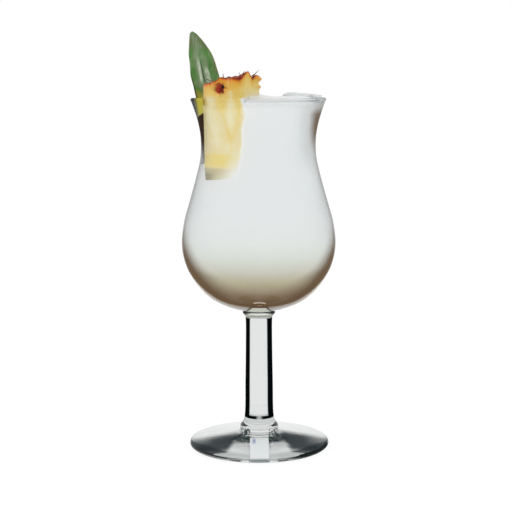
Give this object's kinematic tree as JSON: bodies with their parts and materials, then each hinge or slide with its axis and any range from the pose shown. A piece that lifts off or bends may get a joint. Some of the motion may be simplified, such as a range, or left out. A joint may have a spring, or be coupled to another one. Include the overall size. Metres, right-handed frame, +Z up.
{
  "type": "pina colada",
  "caption": "Creamy white cocktail, filled to the brim of a footed hurricane glass, with a pineapple wedge, a pineapple leaf and a lump of ice at the rim.",
  "frame": {"origin": "centre of the foot, on the surface that the glass stands on", "axes": "+Z up along the glass's axis; seen along +Y the wedge and the leaf are at the left (-X) and the ice is at the right (+X)"},
  "size_m": [0.0838, 0.0838, 0.2266],
  "materials": {
    "clear_glass": "clear, polished, fire-rounded at the lip",
    "creamy_drink": "opaque white cocktail with a fine froth on top",
    "pineapple": "juicy yellow flesh with an orange-brown crusted rind",
    "leaf": "waxy grey-green leaf, yellow near its base and dark brown at its end",
    "ice": "wet translucent ice under a film of the drink"
  },
  "bodies": {
    "root": {"glass": "clear_glass", "drink": "creamy_drink", "pineapple_wedge": "pineapple", "pineapple_leaf": "leaf", "ice_chunk": "ice"}
  },
  "joints": []
}
